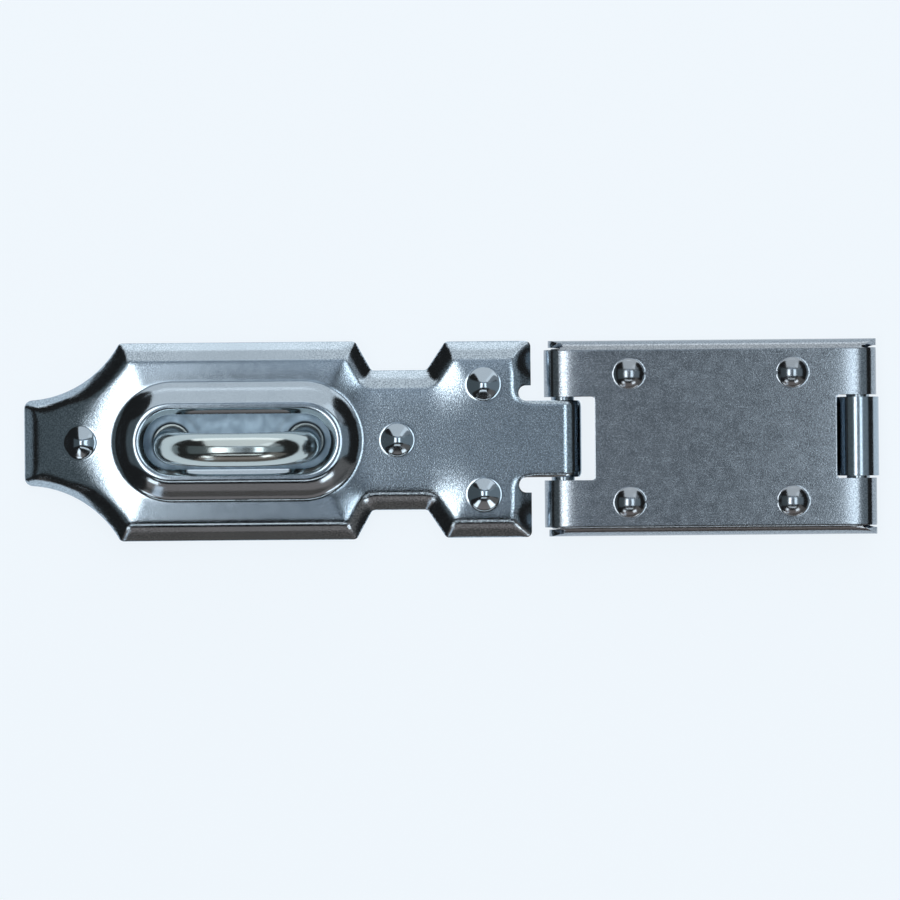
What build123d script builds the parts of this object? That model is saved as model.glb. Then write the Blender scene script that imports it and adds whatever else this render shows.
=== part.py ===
from build123d import *
from math import asin, atan, cos, degrees, radians, sin, sqrt, tan
import os

# A double-jointed chest hasp, closed over its staple. Millimetres. The mounting surface is z = 0,
# the origin is the centre of the base plate's screw holes, and +X points at the base hinge.

# Sheet and hinges
SHEET = 1.5
BASE_SHEET = 2.0
PIN_R = 2.6
PIN_GAP = 0.05
HINGE_SPAN = 65.6
KNUCKLE_WRAP = 300.0
KNUCKLE_GAP = 0.75
PIN_CHAMFER = 0.26
TONGUE_W = 17.0

# Link plate between the two hinges
LINK_W = 43.4
LINK_BEND_R = 2.6
SKIRT_LIFT = 0.4
SKIRT_SLIT = 0.5
SLIT_DEEP = 4.0
SKIRT_END_R = 3.2
STRAP_NOTCH = 7.05
BASE_NOTCH_GAP = 0.3
NOTCH_CORNER_R = 0.8
LINK_PIP_DX = 36.2
LINK_PIP_DY = 28.5
LINK_PIP_D = 6.6

# Strap outline: distances from its hinge axis (U), half widths (W), and how far it
# is wider than the link plate on each side (OVER)
WING_U = 7.05
WING_END_U = 26.0
WING_OVER = 0.1
NECK_U = 30.2
NECK_END_U = 42.4
NECK_W = 15.5
NECK_CORNER_R = 1.0
SHOULDER_U = 46.0
SHOULDER_END_U = 98.4
SHOULDER_OVER = 0.3
TIP_U = 119.8
TIP_W = 9.5
TIP_SIDE_R = 24.2
TIP_CORNER_R = 1.8

# Strap section: sloping flange all round, and the tip that droops towards the surface
FLANGE_W = 3.2
FLANGE_DEEP = 3.6
FLANGE_LAND = 0.4
FLANGE_CORNER_R = 1.2
RELIEF_W = 3.4
RELIEF_DEEP = 2.8
DROOP_U = 99.6
DROOP_R = 46.0
DROOP_ANGLE = 16.5
DROOP_STEPS = 7

# Collar and slot pressed into the strap
SLOT_U = 72.2
SLOT_L = 41.5
SLOT_W = 12.2
COLLAR_W = 6.7
COLLAR_H = 2.5
COLLAR_RIM_W = 3.0
COLLAR_RIM_R = 0.9

# Round pips pressed into the strap and the link plate
PIP_D = 7.2
PIP_H = 1.6
PIP_TIP_R = 0.9
TIP_PIP_U = 107.2
NECK_PIP_U = 36.8
WING_PIP_U = 17.6
WING_PIP_Y = 12.2

# Base plate and its screw holes
BASE_SETBACK = 0.8
BASE_W = 37.0
BASE_CORNER_R = 3.0
BASE_HINGE_GAP = 0.7
BASE_HOLES_DX = 36.0
BASE_HOLES_DY = 22.0
SCREW_R = 2.5
SINK_DEEP = 1.2

# Staple and its plate
STAPLE_SHEET = 2.5
STAPLE_PLATE_L = 66.0
STAPLE_PLATE_W = 32.0
STAPLE_CORNER_R = 14.0
STAPLE_HOLES_DX = 50.0
STAPLE_HOLES_DY = 18.0
BAR_D = 7.4
STAPLE_OUT_W = 37.2
STAPLE_H = 29.0
STAPLE_BEND_R = 12.0
STAPLE_CROWN_R = 40.0
STAPLE_LEAN = 4.5
LEG_GAP = 0.35
RIVET_FLARE = 1.2
RIVET_GAP = 0.05

# Worked out from the sizes above
BORE_R = PIN_R + PIN_GAP
KNUCKLE_R = BORE_R + SHEET
BASE_KNUCKLE_R = BORE_R + BASE_SHEET
AXIS_Z = BASE_KNUCKLE_R
TOP_Z = AXIS_Z + KNUCKLE_R
UNDER_Z = TOP_Z - SHEET
STRAP_AXIS_X = -HINGE_SPAN / 2
BASE_AXIS_X = HINGE_SPAN / 2
SKIRT_IN = LINK_W / 2 - SHEET
WING_W = LINK_W / 2 + WING_OVER
SHOULDER_W = LINK_W / 2 + SHOULDER_OVER
NOTCH_W = TONGUE_W + 2 * KNUCKLE_GAP
SLOT_X = STRAP_AXIS_X - SLOT_U
FLANGE_SLOPE = atan(FLANGE_DEEP / FLANGE_W)

# Cutters: the size of one that takes all on its side, how far others run past the metal,
# and how close an edge lies to the place it is picked by
CUT = 60.0
PAST = 1.0
NEAR = 0.01
ON_SURFACE = (Align.CENTER, Align.CENTER, Align.MIN)


def block(x0, x1, y0, y1, z0, z1):
    """A box between two corners."""
    low = (Align.MIN, Align.MIN, Align.MIN)
    return Pos(x0, y0, z0) * Box(x1 - x0, y1 - y0, z1 - z0, align=low)


def curl(x, r_in, start, sweep, sheet, y0, y1):
    """A knuckle: sheet rolled round the hinge axis at X, from y0 to y1."""
    outer = CenterArc((0, 0), r_in + sheet, start, sweep)
    inner = CenterArc((0, 0), r_in, start, sweep)
    ends = [Line(outer @ 0, inner @ 0), Line(outer @ 1, inner @ 1)]
    face = make_face([outer, inner] + ends)
    side = Plane((x, y1, AXIS_Z), x_dir=(1, 0, 0), z_dir=(0, -1, 0))
    return extrude(side * face, y1 - y0)


def screw_holes(x, dx, dy, sheet):
    """Cutters for four countersunk screw holes in a plate that lies on the surface."""
    sink_r = SCREW_R + SINK_DEEP
    shank = [(0, -PAST), (SCREW_R, -PAST), (SCREW_R, sheet - SINK_DEEP)]
    sink = [(sink_r, sheet), (sink_r, sheet + PAST), (0, sheet + PAST)]
    hole = revolve(Plane.XZ * make_face(Polyline(shank + sink, close=True)), Axis.Z)
    return [Pos(x + sx * dx / 2, sy * dy / 2, 0) * hole for sx in (-1, 1) for sy in (-1, 1)]


def press_pip(sheet_body, place, diameter):
    """Presses a hollow, round-nosed cone out of the sheet at PLACE. Its z axis points out of the sheet."""
    r = diameter / 2
    hollow_r = r - SHEET / 2
    hollow_h = PIP_H - SHEET
    outside = Polyline((0, -SHEET), (r, -SHEET), (r, 0), (PIP_TIP_R, PIP_H), (0, PIP_H), close=True)
    hollow = Polyline((0, -SHEET), (hollow_r, -SHEET), (PIP_TIP_R, hollow_h), (0, hollow_h), close=True)
    cone = revolve(Plane.XZ * make_face(outside), Axis.Z)
    nose = [e for e in cone.edges().filter_by(GeomType.CIRCLE) if abs(e.center().Z - PIP_H) < NEAR]
    cone = fillet(nose, PIP_TIP_R)
    inner = revolve(Plane.XZ * make_face(hollow), Axis.Z)
    return sheet_body + place * cone - place * inner


def tip_arc_centre():
    """Centre (u, w) of the hollow arc that runs from the shoulder to the tip."""
    du = TIP_U - SHOULDER_END_U
    dw = SHOULDER_W - TIP_W
    chord = sqrt(du**2 + dw**2)
    rise = sqrt(TIP_SIDE_R**2 - chord**2 / 4)
    middle_u = (SHOULDER_END_U + TIP_U) / 2
    middle_w = (SHOULDER_W + TIP_W) / 2
    return middle_u + rise * dw / chord, middle_w + rise * du / chord


def droop(u):
    """How far the strap's top lies below its flat level at U."""
    a = radians(DROOP_ANGLE)
    run = max(u - DROOP_U, 0.0)
    if run <= DROOP_R * sin(a):
        return DROOP_R - sqrt(DROOP_R**2 - run**2)
    return DROOP_R * (1 - cos(a)) + (run - DROOP_R * sin(a)) * tan(a)


def droop_slope(u):
    """How steeply the strap's top falls at U, in degrees."""
    run = max(u - DROOP_U, 0.0)
    if run <= DROOP_R * sin(radians(DROOP_ANGLE)):
        return degrees(asin(run / DROOP_R))
    return DROOP_ANGLE


def strap_outline(inset):
    """The strap's outline seen from above, moved inwards by INSET."""
    half = [(WING_U, WING_W), (WING_END_U, WING_W), (NECK_U, NECK_W), (NECK_END_U, NECK_W)]
    half += [(SHOULDER_U, SHOULDER_W), (SHOULDER_END_U, SHOULDER_W)]
    upper = [(STRAP_AXIS_X - u, w) for u, w in half]
    lower = [(x, -y) for x, y in upper]
    tip = STRAP_AXIS_X - TIP_U
    upper_arc = RadiusArc(upper[-1], (tip, TIP_W), TIP_SIDE_R)
    lower_arc = RadiusArc(lower[-1], (tip, -TIP_W), -TIP_SIDE_R)
    ends = [Line(upper[0], lower[0]), Line((tip, TIP_W), (tip, -TIP_W))]
    face = make_face(Polyline(upper).edges() + Polyline(lower).edges() + [upper_arc, lower_arc] + ends)
    return offset(face, -inset, kind=Kind.INTERSECTION) if inset else face


def strap_tip(inset, top_drop, land):
    """The drooping tip of the strap's outer or inner form, as a loft of sections along it."""
    cu, cw = tip_arc_centre()
    depth = FLANGE_DEEP - top_drop
    run = depth / tan(FLANGE_SLOPE)
    end_u = TIP_U + FLANGE_W
    sections = []
    for i in range(DROOP_STEPS + 1):
        u = DROOP_U + (end_u - DROOP_U) * i / DROOP_STEPS
        foot_w = cw - sqrt((TIP_SIDE_R + inset) ** 2 - (cu - u) ** 2)
        top_w = cw - sqrt((TIP_SIDE_R + inset + run) ** 2 - (cu - u) ** 2)
        z = TOP_Z - top_drop - droop(u)
        half = [(top_w, z), (foot_w, z - depth), (foot_w, z - depth - land)]
        points = half + [(-y, h) for y, h in reversed(half)]
        section = make_face(Polyline(points, close=True))
        sections.append(Plane((STRAP_AXIS_X - u, 0, 0), x_dir=(0, 1, 0), z_dir=(1, 0, 0)) * section)
    foot = Pos(STRAP_AXIS_X - TIP_U + inset, 0, TOP_Z - droop(TIP_U) - FLANGE_DEEP)
    past_end = block(-CUT, 0, -CUT, CUT, -CUT, CUT)
    slope = Rot(0, 90 - degrees(FLANGE_SLOPE), 0)
    return loft(sections) - foot * slope * past_end - foot * past_end


def strap_form(inset, top_drop, land):
    """The strap's outer form, or the hollow under its sheet: a block with sloping sides, and the tip."""
    # The sides start below the flange's foot, so that the neck's hollow corners are already round there
    foot_z = TOP_Z - FLANGE_DEEP
    below = NECK_CORNER_R * tan(FLANGE_SLOPE)
    outline = Pos(0, 0, foot_z - below) * strap_outline(inset - NECK_CORNER_R)
    sides = extrude(outline, FLANGE_DEEP + below - top_drop, taper=90 - degrees(FLANGE_SLOPE))
    sides -= Pos(0, 0, foot_z) * block(-2 * TIP_U, 0, -CUT, CUT, -CUT, 0)
    flat = sides + extrude(sides.faces().sort_by(Axis.Z)[0], land, dir=(0, 0, -1))
    flat -= block(STRAP_AXIS_X - 2 * TIP_U, STRAP_AXIS_X - DROOP_U, -CUT, CUT, -CUT, CUT)
    return flat + strap_tip(inset, top_drop, land)


def round_corners(form):
    """Rounds the flange's corners: the two at the tip, and all the others on the flat part."""
    tip_end = STRAP_AXIS_X - TIP_U + FLANGE_W
    climb = FLANGE_DEEP - FLANGE_LAND
    steep = [e for e in form.edges() if e.bounding_box().size.Z > climb]
    tip = [e for e in steep if e.center().X < tip_end and abs(e.center().Y) > TIP_W / 2]
    form = fillet(tip, TIP_CORNER_R)
    steep = [e for e in form.edges() if e.bounding_box().size.Z > climb]
    flat = [e for e in steep if e.center().X > STRAP_AXIS_X - DROOP_U + FLANGE_LAND]
    flat = [e for e in flat if abs(e.center().Y) > NECK_W]
    return fillet(flat, FLANGE_CORNER_R)


def around_slot(points, rounds):
    """Runs a section round the slot. Its points are (distance from the slot, height above the strap)."""
    half_w = SLOT_W / 2
    straight = SLOT_L - SLOT_W
    section = make_face(Polyline([(half_w + s, h) for s, h in points], close=True))
    for index, radius in rounds:
        corner = section.vertices().sort_by_distance((half_w + points[index][0], points[index][1], 0))[0]
        section = fillet(corner, radius)
    side = Plane((0, 0, 0), x_dir=(0, 1, 0), z_dir=(1, 0, 0)) * section
    run = extrude(Pos(-straight / 2, 0, 0) * side, straight, dir=(1, 0, 0))
    end = revolve(side, Axis.Z, 180)
    ends = [Pos(-straight / 2, 0, 0) * end, Rot(0, 0, 180) * Pos(-straight / 2, 0, 0) * end]
    return run + Rot(0, 0, 180) * run + ends


def slot_prism(grow, z0, z1):
    """A slot-shaped block round the slot's centre, GROW wider than the slot on every side."""
    face = SlotOverall(SLOT_L + 2 * grow, SLOT_W + 2 * grow)
    return Pos(SLOT_X, 0, z0) * extrude(face, z1 - z0)


def make_strap():
    """The pressed strap: flanged outline, collar round the slot, pips, and a tongue curled round a pin."""
    wall = SHEET / sin(FLANGE_SLOPE)
    strap = round_corners(strap_form(0, 0, FLANGE_LAND)) - strap_form(wall, SHEET, FLANGE_LAND + PAST)
    # The flange stops short of the tongue, with a round-ended relief on each side
    strap_end = STRAP_AXIS_X - WING_U
    mouth = TONGUE_W / 2 + RELIEF_W
    relief_x = strap_end - RELIEF_DEEP + RELIEF_W / 2
    strap -= block(relief_x, STRAP_AXIS_X, -mouth, mouth, -CUT, CUT)
    for side in (-1, 1):
        strap -= Pos(relief_x, side * (mouth - RELIEF_W / 2), TOP_Z) * Cylinder(RELIEF_W / 2, CUT)
    root = strap_end - FLANGE_W - SHEET
    strap += block(root, STRAP_AXIS_X, -TONGUE_W / 2, TONGUE_W / 2, UNDER_Z, TOP_Z)
    strap += curl(STRAP_AXIS_X, BORE_R, 90, -KNUCKLE_WRAP, SHEET, -TONGUE_W / 2, TONGUE_W / 2)
    # The collar replaces the sheet round the slot
    strap -= slot_prism(COLLAR_W, UNDER_Z - PAST, TOP_Z + PAST)
    rim = COLLAR_RIM_W
    outside = [(COLLAR_W, 0), (rim + COLLAR_RIM_R, COLLAR_H), (rim - COLLAR_RIM_R, COLLAR_H), (0, 0)]
    inside = [(0, -SHEET), (rim, COLLAR_H - SHEET), (COLLAR_W, -SHEET)]
    strap += Pos(SLOT_X, 0, TOP_Z) * around_slot(outside + inside, [(1, COLLAR_RIM_R), (2, COLLAR_RIM_R)])
    places = [(NECK_PIP_U, 0), (WING_PIP_U, WING_PIP_Y), (WING_PIP_U, -WING_PIP_Y)]
    for u, y in places:
        strap = press_pip(strap, Pos(STRAP_AXIS_X - u, y, TOP_Z), PIP_D)
    tip_pip = Pos(STRAP_AXIS_X - TIP_PIP_U, 0, TOP_Z - droop(TIP_PIP_U))
    return press_pip(strap, tip_pip * Rot(0, -droop_slope(TIP_PIP_U), 0), PIP_D)


def make_link():
    """The link plate: a channel with skirts, notched for both tongues, with two knuckles at each end."""
    half = LINK_W / 2
    web = block(STRAP_AXIS_X, BASE_AXIS_X, -half, half, SKIRT_LIFT, TOP_Z)
    rounded = web.edges().filter_by(Axis.X).group_by(Axis.Z)[-1]
    web = fillet(rounded, LINK_BEND_R)
    hollow = block(STRAP_AXIS_X, BASE_AXIS_X, -SKIRT_IN, SKIRT_IN, SKIRT_LIFT - PAST, UNDER_Z)
    inner = hollow.edges().filter_by(Axis.X).group_by(Axis.Z)[-1]
    link = web - fillet(inner, LINK_BEND_R - SHEET)
    # Skirt ends go round the hinge axes and cover the pins
    for x, r in ((STRAP_AXIS_X, SKIRT_END_R), (BASE_AXIS_X, KNUCKLE_R)):
        for y in (-half, SKIRT_IN):
            outside = Plane((x, y + SHEET, AXIS_Z), x_dir=(1, 0, 0), z_dir=(0, -1, 0))
            link += extrude(outside * Circle(r), SHEET)
    # Notches for the tongues, and slits that free the knuckles from the skirts
    notch_end = STRAP_AXIS_X + STRAP_NOTCH
    base_end = BASE_AXIS_X - BASE_KNUCKLE_R - BASE_NOTCH_GAP
    half_notch = NOTCH_W / 2
    for x0, x1 in ((STRAP_AXIS_X - PAST, notch_end), (base_end, BASE_AXIS_X + PAST)):
        link -= block(x0, x1, -half_notch, half_notch, UNDER_Z - PAST, TOP_Z + PAST)
    sides = [e for e in link.edges().filter_by(Axis.Z) if abs(abs(e.center().Y) - half_notch) < NEAR]
    for end in (notch_end, base_end):
        corners = [e for e in sides if abs(e.center().X - end) < NEAR]
        link = fillet(corners, NOTCH_CORNER_R)
    knuckle_end = SKIRT_IN - SKIRT_SLIT
    for side in (-1, 1):
        y0, y1 = sorted((side * knuckle_end, side * SKIRT_IN))
        for x in (STRAP_AXIS_X, BASE_AXIS_X):
            link -= block(x - SLIT_DEEP, x + SLIT_DEEP, y0, y1, UNDER_Z - SHEET, TOP_Z)
        y0, y1 = sorted((side * half_notch, side * knuckle_end))
        link += curl(STRAP_AXIS_X, BORE_R, 90, KNUCKLE_WRAP, SHEET, y0, y1)
        link += curl(BASE_AXIS_X, BORE_R, 90, -KNUCKLE_WRAP, SHEET, y0, y1)
    for x in (STRAP_AXIS_X, BASE_AXIS_X):
        link -= Pos(x, 0, AXIS_Z) * Rot(90, 0, 0) * Cylinder(BORE_R, 2 * SKIRT_IN)
    for sx in (-1, 1):
        for sy in (-1, 1):
            link = press_pip(link, Pos(sx * LINK_PIP_DX / 2, sy * LINK_PIP_DY / 2, TOP_Z), LINK_PIP_D)
    return link


def make_base():
    """The base plate that is screwed down: a flat leaf whose tongue curls up round the base pin."""
    leaf_end = BASE_AXIS_X - KNUCKLE_R - BASE_HINGE_GAP
    leaf_start = STRAP_AXIS_X + STRAP_NOTCH + BASE_SETBACK
    leaf = block(leaf_start, leaf_end, -BASE_W / 2, BASE_W / 2, 0, BASE_SHEET)
    leaf = fillet(leaf.edges().filter_by(Axis.Z), BASE_CORNER_R)
    leaf += block(leaf_end - BASE_CORNER_R, BASE_AXIS_X, -TONGUE_W / 2, TONGUE_W / 2, 0, BASE_SHEET)
    leaf += curl(BASE_AXIS_X, BORE_R, -90, KNUCKLE_WRAP, BASE_SHEET, -TONGUE_W / 2, TONGUE_W / 2)
    return leaf - screw_holes(0, BASE_HOLES_DX, BASE_HOLES_DY, BASE_SHEET)


def make_pin(x):
    """A plain hinge pin, held endways between the link plate's skirts."""
    half = SKIRT_IN - SKIRT_SLIT / 2
    pin = Pos(x, 0, AXIS_Z) * Rot(90, 0, 0) * Cylinder(PIN_R, 2 * half)
    return chamfer(pin.edges().filter_by(GeomType.CIRCLE), PIN_CHAMFER)


def leg_places():
    """The x of the staple's two legs."""
    reach = (STAPLE_OUT_W - BAR_D) / 2
    return [SLOT_X - reach, SLOT_X + reach]


def make_staple_plate():
    """The plate under the strap: four screw holes, and two holes flared behind for the staple's legs."""
    face = RectangleRounded(STAPLE_PLATE_L, STAPLE_PLATE_W, STAPLE_CORNER_R)
    plate = Pos(SLOT_X, 0, 0) * extrude(face, STAPLE_SHEET)
    plate -= screw_holes(SLOT_X, STAPLE_HOLES_DX, STAPLE_HOLES_DY, STAPLE_SHEET)
    hole_r = BAR_D / 2 + LEG_GAP
    for x in leg_places():
        plate -= Pos(x, 0, 0) * Cylinder(hole_r, STAPLE_SHEET, align=ON_SURFACE)
        plate -= Pos(x, 0, 0) * Cone(hole_r + RIVET_FLARE, hole_r, RIVET_FLARE, align=ON_SURFACE)
    return plate


def make_staple():
    """The staple: a round bar bent to an arch that leans in its loose holes, with riveted leg ends."""
    left, right = leg_places()
    reach = (right - left) / 2
    r = STAPLE_BEND_R
    crown = STAPLE_CROWN_R
    crown_z = STAPLE_H - BAR_D / 2 - crown
    bend_x = reach - r
    bend_z = crown_z + sqrt((crown - r) ** 2 - bend_x**2)
    meet_x = bend_x * crown / (crown - r)
    meet_z = crown_z + (bend_z - crown_z) * crown / (crown - r)
    legs = [Line((sx * reach, RIVET_FLARE), (sx * reach, bend_z)) for sx in (-1, 1)]
    bends = [RadiusArc((sx * reach, bend_z), (sx * meet_x, meet_z), -sx * r) for sx in (-1, 1)]
    top = RadiusArc((-meet_x, meet_z), (meet_x, meet_z), crown)
    path = Plane.XZ * Wire(legs + bends + [top])
    bar = sweep(Plane(path @ 0, z_dir=path % 0) * Circle(BAR_D / 2), path)
    lean = Pos(SLOT_X, 0, STAPLE_SHEET / 2) * Rot(STAPLE_LEAN, 0, 0) * Pos(0, 0, -STAPLE_SHEET / 2)
    staple = lean * bar
    head_r = BAR_D / 2 + LEG_GAP + RIVET_FLARE - RIVET_GAP
    for x in (left, right):
        staple += Pos(x, 0, 0) * Cone(head_r, head_r - RIVET_FLARE, RIVET_FLARE, align=ON_SURFACE)
    return staple


NODES = {
    "hasp_strap": make_strap(),
    "link_plate": make_link(),
    "base_plate": make_base(),
    "strap_hinge_pin": make_pin(STRAP_AXIS_X),
    "base_hinge_pin": make_pin(BASE_AXIS_X),
    "staple_plate": make_staple_plate(),
    "staple": make_staple(),
}

os.makedirs("parts", exist_ok=True)
for name, solid in NODES.items():
    export_step(solid, f"parts/{name}.step")
    print(name, len(solid.solids()), round(solid.volume, 1), solid.is_valid)
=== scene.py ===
# %% [markdown]
# # A chest hasp, closed over its staple
# The hasp is a small piece of pressed sheet steel with a bright zinc plating. A strap with a long slot
# drops over a staple, a link plate joins it to a fixed leaf, and two hinge pins hold the three together.
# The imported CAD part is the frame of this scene. Each piece is made again here as a smooth mesh that
# sits exactly where its CAD node sits, because soft reflections in metal show every flat facet of a
# coarse mesh.

# %% Load the frame
import math

import bpy
import numpy as np
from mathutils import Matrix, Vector


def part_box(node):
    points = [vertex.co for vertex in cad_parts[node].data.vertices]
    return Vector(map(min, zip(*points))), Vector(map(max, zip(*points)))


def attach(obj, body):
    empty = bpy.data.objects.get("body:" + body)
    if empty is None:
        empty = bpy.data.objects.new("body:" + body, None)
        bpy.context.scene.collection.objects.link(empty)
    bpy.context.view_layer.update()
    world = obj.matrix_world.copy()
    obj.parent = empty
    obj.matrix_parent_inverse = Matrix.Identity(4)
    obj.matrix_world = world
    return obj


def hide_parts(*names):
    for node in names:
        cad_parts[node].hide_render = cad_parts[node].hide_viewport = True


MM = 0.001
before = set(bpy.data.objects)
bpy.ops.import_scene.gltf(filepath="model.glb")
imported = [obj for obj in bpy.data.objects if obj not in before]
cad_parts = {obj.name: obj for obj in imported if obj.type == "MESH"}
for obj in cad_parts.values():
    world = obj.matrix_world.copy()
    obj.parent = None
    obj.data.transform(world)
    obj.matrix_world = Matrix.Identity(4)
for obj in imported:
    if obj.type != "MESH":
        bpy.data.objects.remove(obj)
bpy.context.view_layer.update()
print("frame nodes:", sorted(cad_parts))

# %% [markdown]
# ## Places that come from the frame
# The hinge pins tell where both axes are, the link plate gives the width, the staple plate gives the
# middle of the slot, and the strap's own box gives its tip. Everything else hangs on these places, so
# the scene follows the CAD.

# %% Hinge axes, levels and widths
SHEET = 1.5 * MM
BASE_SHEET = 2.0 * MM
PIN_GAP = 0.05 * MM


def middle(node):
    """The middle of a CAD node's box."""
    low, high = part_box(node)
    return [(a + b) / 2 for a, b in zip(low, high)]


STRAP_AXIS_X, _, AXIS_Z = middle("strap_hinge_pin")
BASE_AXIS_X = middle("base_hinge_pin")[0]
PIN_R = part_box("strap_hinge_pin")[1][2] - AXIS_Z
BORE_R = PIN_R + PIN_GAP
KNUCKLE_R = BORE_R + SHEET
TOP_Z = AXIS_Z + KNUCKLE_R
LINK_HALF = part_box("link_plate")[1][1]
SLOT_X = middle("staple_plate")[0]
TIP_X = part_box("hasp_strap")[0][0]
print("strap axis, top and slot in mm:", [round(v / MM, 2) for v in (STRAP_AXIS_X, TOP_Z, SLOT_X)])

# %% [markdown]
# ## Small helpers
# A person modelling by hand clicks an object, enters edit mode, selects by eye and runs an operator.
# With no window the same steps need a few helpers: one to start from a clean selection, one to select by
# place, and one to finish a piece.


# %% Selecting and finishing
def only(obj):
    """Makes OBJ the one selected and active object."""
    bpy.ops.object.select_all(action="DESELECT")
    obj.select_set(True)
    bpy.context.view_layer.objects.active = obj


def select_where(obj, test):
    """Selects the vertices that pass TEST, and the edges and faces between them, and stays in edit mode."""
    bpy.ops.object.mode_set(mode="OBJECT")
    mesh = obj.data
    picked = test(*points_of(obj).T)
    ends = np.zeros(len(mesh.edges) * 2, int)
    mesh.edges.foreach_get("vertices", ends)
    mesh.vertices.foreach_set("select", picked)
    mesh.edges.foreach_set("select", picked[ends.reshape(-1, 2)].all(axis=1))
    mesh.polygons.foreach_set("select", [bool(picked[p.vertices].all()) for p in mesh.polygons])
    bpy.ops.object.mode_set(mode="EDIT")


def points_of(obj):
    """The piece's vertices as an array."""
    flat = np.zeros(len(obj.data.vertices) * 3)
    obj.data.vertices.foreach_get("co", flat)
    return flat.reshape(-1, 3)


def put_points(obj, points):
    """Moves the piece's vertices to these places."""
    obj.data.vertices.foreach_set("co", np.asarray(points).ravel())
    obj.data.update()


def added(name):
    """Names the object that an operator has just added."""
    obj = bpy.context.object
    obj.name = obj.data.name = name
    return obj


def spin(x, z, turn, steps):
    """Spins the selected edges about a line along Y. The operator turns the other way, so minus."""
    bpy.ops.mesh.spin(steps=steps, angle=-turn, center=(x, 0, z), axis=(0, 1, 0))


def apply_modifier(obj, kind, **settings):
    """Adds a modifier with these settings and applies it at once."""
    only(obj)
    modifier = obj.modifiers.new(kind.lower(), kind)
    for key, value in settings.items():
        setattr(modifier, key, value)
    bpy.ops.object.modifier_apply(modifier=modifier.name)


def break_edges(obj, width, sharper_than, segments=2):
    """Takes the sharpness off every edge that turns by more than an angle in degrees."""
    angle = math.radians(sharper_than)
    apply_modifier(obj, "BEVEL", width=width, segments=segments, limit_method="ANGLE", angle_limit=angle)


def clean(obj, merge=0.01 * MM):
    """Merges doubles and makes the normals agree."""
    only(obj)
    bpy.ops.object.mode_set(mode="EDIT")
    bpy.ops.mesh.select_all(action="SELECT")
    bpy.ops.mesh.remove_doubles(threshold=merge)
    bpy.ops.mesh.normals_make_consistent(inside=False)
    bpy.ops.object.mode_set(mode="OBJECT")


def turn_over(obj):
    """Flips all the normals of a sheet."""
    only(obj)
    bpy.ops.object.mode_set(mode="EDIT")
    bpy.ops.mesh.select_all(action="SELECT")
    bpy.ops.mesh.flip_normals()
    bpy.ops.object.mode_set(mode="OBJECT")


def settle(obj, body, node, smooth_angle=35):
    """Last step of a piece: shading that keeps flat faces flat, its body, and its CAD node hidden."""
    only(obj)
    bpy.ops.object.transform_apply(location=True, rotation=True, scale=True)
    bpy.ops.object.shade_smooth_by_angle(angle=math.radians(smooth_angle))
    apply_modifier(obj, "WEIGHTED_NORMAL", keep_sharp=True)
    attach(obj, body)
    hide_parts(node)
    faces = sum(len(p.vertices) - 2 for p in obj.data.polygons)
    print(obj.name, "triangles:", faces)


# %% [markdown]
# ## Pressing sheet metal
# A press cuts a blank from sheet and pushes its form up from below. The mesh is made the same way: a
# fine grid of points is cut along an outline, and each point then gets its height. Points on the cut are
# moved onto the outline, which leaves a clean edge without a boolean. The outline is a plain list of
# points with arcs where it is round.

# %% Outlines and grids
DROP_OUTSIDE = 0.75
SNAP_INSIDE = 0.25
CURL_STEPS = 48
SHEET_EDGE = 0.14 * MM


def arc(cx, cy, r, start, end, steps):
    """Points on a circle from START to END, in degrees."""
    turn = np.radians(np.linspace(start, end, steps + 1))
    return [(cx + r * math.cos(a), cy + r * math.sin(a)) for a in turn]


def rounded(before, corner, after, r, steps=6):
    """Points of an arc that rounds the corner between two stretches of an outline."""
    to_before = np.subtract(before, corner) / math.dist(before, corner)
    to_after = np.subtract(after, corner) / math.dist(after, corner)
    half = math.acos(to_before @ to_after) / 2
    inwards = (to_before + to_after) / np.linalg.norm(to_before + to_after)
    cx, cy = np.add(corner, inwards * r / math.sin(half))
    first = np.add(corner, to_before * r / math.tan(half)) - (cx, cy)
    last = np.add(corner, to_after * r / math.tan(half)) - (cx, cy)
    start = math.degrees(math.atan2(first[1], first[0]))
    sweep = (math.degrees(math.atan2(last[1], last[0])) - start + 180) % 360 - 180
    return arc(cx, cy, r, start, start + sweep, steps)


def mirrored(half):
    """Closes an outline that is the same on both sides of y = 0."""
    return np.array(list(half) + [(x, -y) for x, y in reversed(half)])


def edge_distance(outline, points):
    """Distance of each point to a closed outline, positive inside it, and the nearest place on it."""
    best = np.full(len(points), np.inf)
    nearest = np.zeros_like(points)
    inside = np.zeros(len(points), bool)
    for a, b in zip(outline, np.roll(outline, -1, axis=0)):
        ab = b - a
        length = ab @ ab
        if length == 0:
            continue
        share = np.clip(((points - a) @ ab) / length, 0, 1)
        place = a + share[:, None] * ab
        gap = np.hypot(*(points - place).T)
        closer = gap < best
        best[closer] = gap[closer]
        nearest[closer] = place[closer]
        crosses = (a[1] > points[:, 1]) != (b[1] > points[:, 1])
        if a[1] != b[1]:
            meet = a[0] + (points[:, 1] - a[1]) * ab[0] / ab[1]
            inside ^= crosses & (points[:, 0] < meet)
    return np.where(inside, best, -best), nearest


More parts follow.
